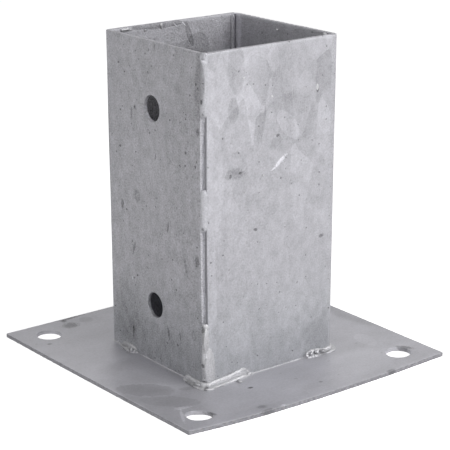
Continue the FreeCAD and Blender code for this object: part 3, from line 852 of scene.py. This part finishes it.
def build_seams(context):
    """Builds the three beads of both seams and the zinc that has run down beside them."""
    zinc = context.scene.post_base.zinc
    materials = {part: material_for(f"{part}_seam_coat", weld_zinc,
                                    zinc.weld_colour if part == "lower" else zinc.sheet_colour, "seam")
                 for part in SEAM_BEADS}
    inner = SLEEVE_HALF - SHEET
    for end, sign in (("front", -1), ("rear", 1)):
        for part, (lump, controls) in SEAM_BEADS.items():
            node = f"{end}_seam_weld_{part}"
            low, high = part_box(node)
            bm = bmesh.new()
            sweep_section(bm, seam_frames(sign, controls, low.z, high.z), BEAD_SIDES, seam_section,
                          lump * MM, LUMP_SIZE, 7 + sign)
            if part == "middle":
                root = [Matrix.Translation((sign * inner, sign * inner, SLEEVE_FOOT + k * 2.15 * MM))
                        @ Matrix.Scale(0.45 * MM, 4) for k in range(70)]
                sweep_section(bm, root, 8, lambda angle: 1.0, 0.1 * MM, 1.2 * MM, 3)
            for (x, y, z), size, lumps, seed in SEAM_DROPS[part]:
                add_drop(bm, Vector((sign * x, sign * y, z)) * MM, Vector(size) * MM, lumps, seed)
            if part == "upper":
                run = [Matrix.Translation((sign * 35.2 * MM, sign * 35.2 * MM, (124 + k) * MM))
                       @ Matrix.Scale(1.15 * MM, 4) for k in range(30)]
                sweep_section(bm, run, 12, lambda angle: 1.0, 0.2 * MM, 1.2 * MM, 5)
            for v in bm.verts:
                v.co.z = min(v.co.z, SLEEVE_TOP)
            bow_seam(bm)
            finish_piece(f"{end}_{part}_seam_bead", bm, [materials[part]], [node])


FOOT_BEADS = {
    # name: corner signs, outward and along for each wall, controls of (place, height, width) in mm, seed
    "front": ((-1, -1), ((-1, 0), (0, 1)), ((0, -1), (1, 0)),
              [(-54, 0.4, 0.4), (-16, 0.5, 0.5), (-13.5, 2.4, 2.6), (-8, 2.4, 3.6), (-2, 2.6, 3.9),
               (5, 3.0, 3.1), (12, 3.3, 2.7), (18, 4.2, 2.6), (21, 4.7, 2.5), (23.5, 3.0, 2.0),
               (26, 1.1, 1.2), (27.5, 0.6, 0.6), (40, 0.5, 0.5), (57.5, 0.55, 0.55)], 31),
    "left": ((-1, 1), ((-1, 0), (0, -1)), ((0, 1), (1, 0)),
             [(-22, 0.6, 0.6), (-20.8, 2.2, 2.3), (-18.5, 2.9, 3.0), (-14, 3.1, 2.7), (-10.5, 2.6, 2.2),
              (-8, 0.6, 0.6), (2, 0.6, 0.6), (4, 2.6, 2.6), (10, 2.6, 2.6), (12, 0.6, 0.6),
              (62, 0.5, 0.5)], 47),
    "right": ((1, -1), ((0, -1), (-1, 0)), ((1, 0), (0, 1)),
              [(-17.5, 0.6, 0.6), (-16, 2.2, 2.4), (-13, 3.3, 3.4), (-9, 3.0, 3.3), (-6, 2.2, 2.9),
               (-2, 2.4, 3.1), (3, 2.6, 3.2), (9, 2.8, 3.0), (12, 0.6, 0.6), (62, 0.5, 0.5)], 59),
    "rear": ((1, 1), ((0, 1), (-1, 0)), ((1, 0), (0, -1)),
             [(-12.5, 0.6, 0.6), (-10, 2.8, 2.8), (0, 3.0, 3.2), (10, 2.8, 2.9), (12.5, 0.6, 0.6)], 73),
}

FOOT_DROPS = {
    # name: (centre, half size, lumpiness) in mm
    "front": [((-21.3, -41.4, 2.4), (0.8, 1.5, 0.6), 0.3), ((-16.5, -38.4, 5.6), (1.6, 0.5, 0.7), 0.3),
              ((-39.8, -34.6, 3.4), (1.0, 1.3, 0.8), 0.4), ((-13.2, -38.6, 3.2), (1.3, 0.6, 0.6), 0.3)],
    "left": [((-39.6, 17.8, 3.5), (1.1, 0.9, 1.2), 0.4), ((-40.4, 19.6, 2.9), (0.9, 1.0, 0.8), 0.4),
             ((-38.6, 16.8, 3.0), (0.8, 0.7, 0.9), 0.4)],
    "right": [((23.5, -39.3, 4.0), (1.1, 0.9, 1.0), 0.5), ((26.6, -39.7, 4.2), (1.2, 0.9, 0.9), 0.5),
              ((30.0, -39.9, 3.8), (1.3, 0.8, 0.9), 0.4), ((21.2, -38.9, 3.1), (0.9, 0.7, 0.8), 0.5),
              ((25.0, -40.6, 2.8), (1.0, 0.7, 0.7), 0.5)],
    "rear": [],
}


def foot_frames(corner, first, second, controls):
    """Placements of a foot bead's section along one wall, round the fold and along the next wall."""
    round_off = 2.0 * MM
    middle = Vector((corner[0], corner[1], 0)) * (SLEEVE_HALF - round_off)
    low, high = controls[0][0], controls[-1][0]
    step = 0.6
    count = round((high - low) / step)
    places = [low + (high - low) * k / count for k in range(count + 1)]
    frames = []
    turned = False
    for k, place in enumerate(places):
        tall, wide = between(controls, place)
        end = min(1.0, min(k, len(places) - 1 - k) * 0.3 + 0.25)
        if abs(place) > 2.0:
            outward, along = (Vector((*v, 0)) for v in (first if place < 0 else second))
            stands = [(middle + outward * round_off + along * (abs(place) * MM - round_off), outward)]
        elif not turned:
            turned = True
            a, b = Vector((*first[0], 0)), Vector((*second[0], 0))
            outs = [a.lerp(b, f).normalized() for f in (0, 0.15, 0.3, 0.5, 0.7, 0.85, 1)]
            stands = [(middle + out * round_off, out) for out in outs]
        else:
            continue
        for base, out in stands:
            up = Vector((0, 0, 1))
            turn = Matrix((out, up, out.cross(up))).transposed().to_4x4()
            size = Matrix.Diagonal((wide * MM * end, tall * MM * end, MM, 1))
            root = base - out * 0.15 * MM + up * (SLEEVE_FOOT - 0.1 * MM)
            frames.append(Matrix.Translation(root) @ turn @ size)
    return frames


def build_foot_welds(context):
    """Builds the four beads at the sleeve's foot."""
    material = material_for("foot_bead_coat", weld_zinc, context.scene.post_base.zinc.weld_colour, "foot")
    for name, (corner, first, second, controls, seed) in FOOT_BEADS.items():
        bm = bmesh.new()
        sweep_section(bm, foot_frames(corner, first, second, controls), BEAD_SIDES, bead_section,
                      FOOT_LUMP, LUMP_SIZE, seed)
        for centre, size, lump in FOOT_DROPS[name]:
            add_drop(bm, Vector(centre) * MM, Vector(size) * MM, lump, seed + centre[0])
        finish_piece(f"{name}_foot_bead", bm, [material], [f"foot_weld_{name}"], 60)


RIM_DROPS = (
    # (centre, half size, lumpiness) in mm: drops of zinc left under the rim and on the walls
    ((-27.4, 35.2, 152.9), (2.3, 0.7, 0.8), 0.4), ((-24.8, 35.2, 152.7), (1.2, 0.5, 0.6), 0.4),
    ((-16.2, 35.3, 151.4), (0.6, 0.4, 0.5), 0.3), ((-7.0, 35.3, 152.4), (0.8, 0.4, 1.3), 0.5),
    ((35.4, -31.6, 153.2), (0.6, 1.0, 0.6), 0.4), ((36.6, -36.3, 153.4), (0.9, 0.8, 0.5), 0.4),
    ((0.0, -37.45, 130.6), (0.7, 0.3, 0.6), 0.3), ((-15.9, -37.45, 141.0), (0.5, 0.25, 0.5), 0.3),
    ((-4.6, -37.45, 95.6), (0.7, 0.3, 0.5), 0.3), ((26.4, -37.4, 131.2), (0.9, 0.3, 1.6), 0.4),
    ((-15.0, -37.45, 89.4), (0.4, 0.2, 0.4), 0.3), ((35.3, 1.8, 150.4), (0.4, 0.6, 0.5), 0.3),
)


def build_drops(context):
    """Builds the loose drops of zinc."""
    material = material_for("foot_bead_coat", weld_zinc, context.scene.post_base.zinc.weld_colour, "foot")
    bm = bmesh.new()
    for centre, size, lump in RIM_DROPS:
        add_drop(bm, Vector(centre) * MM, Vector(size) * MM, lump, centre[0])
    finish_piece("zinc_drops", bm, [material], [], 60)


# ------------------------------------------------------------------ stage

FLOOR_GLOW = 0.92  # brightness of the floor where it is seen, of 1
LAMP_AIM = Vector((0, 0, 0.07))


def seen_rays(tree):
    """1 for the rays that show the background to the camera, straight or in metal and glass."""
    path = add_node(tree, "ShaderNodeLightPath").outputs
    seen = math_node(tree, "MAXIMUM", path["Is Camera Ray"], path["Is Glossy Ray"])
    seen = math_node(tree, "MAXIMUM", seen, path["Is Transmission Ray"])
    return seen


def build_floor(scene):
    """A plain pale floor that keeps the post base's shadow."""
    floor_bm = bmesh.new()
    bmesh.ops.create_grid(floor_bm, x_segments=1, y_segments=1, size=4.0)
    mesh = bpy.data.meshes.new("floor")
    floor_bm.to_mesh(mesh)
    floor_bm.free()
    floor = bpy.data.objects.new("floor", mesh)
    scene.collection.objects.link(floor)
    material = bpy.data.materials.new("pale_floor")
    material.use_nodes = True
    tree = material.node_tree
    shader = tree.nodes["Principled BSDF"]
    shader.inputs["Base Color"].default_value = (0.8, 0.8, 0.8, 1)
    shader.inputs["Roughness"].default_value = 0.9
    shader.inputs["Specular IOR Level"].default_value = 0.0
    glow = math_node(tree, "MULTIPLY", seen_rays(tree), FLOOR_GLOW)
    tree.links.new(glow, shader.inputs["Emission Strength"])
    shader.inputs["Emission Color"].default_value = (1, 1, 1, 1)
    mesh.materials.append(material)


def build_world(scene, ambient):
    """An even light from all round, and a white background where it is seen."""
    world = bpy.data.worlds.new("studio")
    scene.world = world
    world.use_nodes = True
    tree = world.node_tree
    background = tree.nodes["Background"]
    background.inputs["Color"].default_value = (1, 1, 1, 1)
    tree.links.new(map_range(tree, seen_rays(tree), 0.0, 1.0, ambient, 1.0, kind="LINEAR"),
                   background.inputs["Strength"])


def build_lamp(scene, name, place, size, power):
    """A large round lamp aimed at the middle of the post base."""
    light = bpy.data.lights.new(name, "AREA")
    light.shape = "DISK"
    light.size = size
    light.energy = power
    lamp = bpy.data.objects.new(name, light)
    turn = (Vector(place) - LAMP_AIM).to_track_quat("Z", "Y").to_matrix().to_4x4()
    lamp.matrix_world = Matrix.Translation(place) @ turn
    scene.collection.objects.link(lamp)


def build_camera(scene, settings):
    """The camera, turned about its target by azimuth, elevation and roll."""
    az, el, roll = settings.azimuth, settings.elevation, settings.roll
    back = Vector((math.sin(az) * math.cos(el), -math.cos(az) * math.cos(el), math.sin(el)))
    right = Vector((math.cos(az), math.sin(az), 0))
    up = back.cross(right)
    cos, sin = math.cos(roll), math.sin(roll)
    right, up = right * cos + up * sin, up * cos - right * sin
    target = Vector((0, 0, settings.target_height)) + right * settings.target_side
    place = target + back * settings.distance
    camera = bpy.data.cameras.new("camera")
    camera.sensor_width = 36
    camera.lens = settings.lens
    eye = bpy.data.objects.new("camera", camera)
    turn = Matrix((right, up, back)).transposed().to_4x4()
    eye.matrix_world = Matrix.Translation(place) @ turn
    scene.collection.objects.link(eye)
    scene.camera = eye


def build_stage(context):
    """Builds the floor, the surroundings, three lamps and the camera."""
    settings = context.scene.post_base.stage
    scene = context.scene
    build_floor(scene)
    build_world(scene, settings.ambient)
    build_lamp(scene, "key_light", (0.35, -1.1, 0.75), 0.9, settings.key)
    build_lamp(scene, "fill_light", (-1.2, -0.3, 0.5), 0.9, settings.fill)
    build_lamp(scene, "top_light", (-0.1, 0.3, 1.3), 1.0, settings.top)
    build_camera(scene, settings)
    scene.view_settings.view_transform = "Standard"


# ------------------------------------------------------------------ operators and panel

class POSTBASE_OT_plate(bpy.types.Operator):
    """Build the warped base plate with its anchor holes"""
    bl_idname = "post_base.plate"
    bl_label = "Base plate"

    def execute(self, context):
        build_plate(context)
        return {"FINISHED"}


class POSTBASE_OT_angles(bpy.types.Operator):
    """Build the two folded angles that make the sleeve"""
    bl_idname = "post_base.angles"
    bl_label = "Folded angles"

    def execute(self, context):
        for side in ("left", "right"):
            build_angle(context, side)
        return {"FINISHED"}


class POSTBASE_OT_seams(bpy.types.Operator):
    """Build the weld beads along the sleeve's two seams"""
    bl_idname = "post_base.seams"
    bl_label = "Seam beads"

    def execute(self, context):
        build_seams(context)
        return {"FINISHED"}


class POSTBASE_OT_foot_welds(bpy.types.Operator):
    """Build the four weld beads at the sleeve's foot"""
    bl_idname = "post_base.foot_welds"
    bl_label = "Foot beads"

    def execute(self, context):
        build_foot_welds(context)
        return {"FINISHED"}


class POSTBASE_OT_drops(bpy.types.Operator):
    """Build the small drops of zinc under the rim and on the walls"""
    bl_idname = "post_base.drops"
    bl_label = "Zinc drops"

    def execute(self, context):
        build_drops(context)
        return {"FINISHED"}


class POSTBASE_OT_stage(bpy.types.Operator):
    """Build the floor, the lights and the camera"""
    bl_idname = "post_base.stage"
    bl_label = "Stage"

    def execute(self, context):
        build_stage(context)
        return {"FINISHED"}


OPERATORS = (POSTBASE_OT_plate, POSTBASE_OT_angles, POSTBASE_OT_seams,
             POSTBASE_OT_foot_welds, POSTBASE_OT_drops, POSTBASE_OT_stage)


class POSTBASE_PT_panel(bpy.types.Panel):
    """Sizes, colours and build buttons"""
    bl_label = "Post base"
    bl_idname = "POSTBASE_PT_panel"
    bl_space_type = "VIEW_3D"
    bl_region_type = "UI"
    bl_category = "Post Base"

    def draw(self, context):
        settings = context.scene.post_base
        for part in ("plate", "sleeve", "zinc", "stage"):
            box = self.layout.box()
            box.label(text=part.capitalize())
            values = getattr(settings, part)
            for key in values.__annotations__:
                box.prop(values, key)
        for operator in OPERATORS:
            self.layout.operator(operator.bl_idname)


CLASSES = (PlateSettings, SleeveSettings, ZincSettings, StageSettings, PostBaseSettings,
           *OPERATORS, POSTBASE_PT_panel)


def register():
    for cls in CLASSES:
        bpy.utils.register_class(cls)
    bpy.types.Scene.post_base = bpy.props.PointerProperty(
        type=PostBaseSettings, name="Post base", description="Settings of the post base")


def unregister():
    del bpy.types.Scene.post_base
    for cls in reversed(CLASSES):
        bpy.utils.unregister_class(cls)


def main():
    register()
    bpy.ops.post_base.plate()
    bpy.ops.post_base.angles()
    bpy.ops.post_base.seams()
    bpy.ops.post_base.foot_welds()
    bpy.ops.post_base.drops()
    bpy.ops.post_base.stage()


if __name__ == "__main__":
    main()
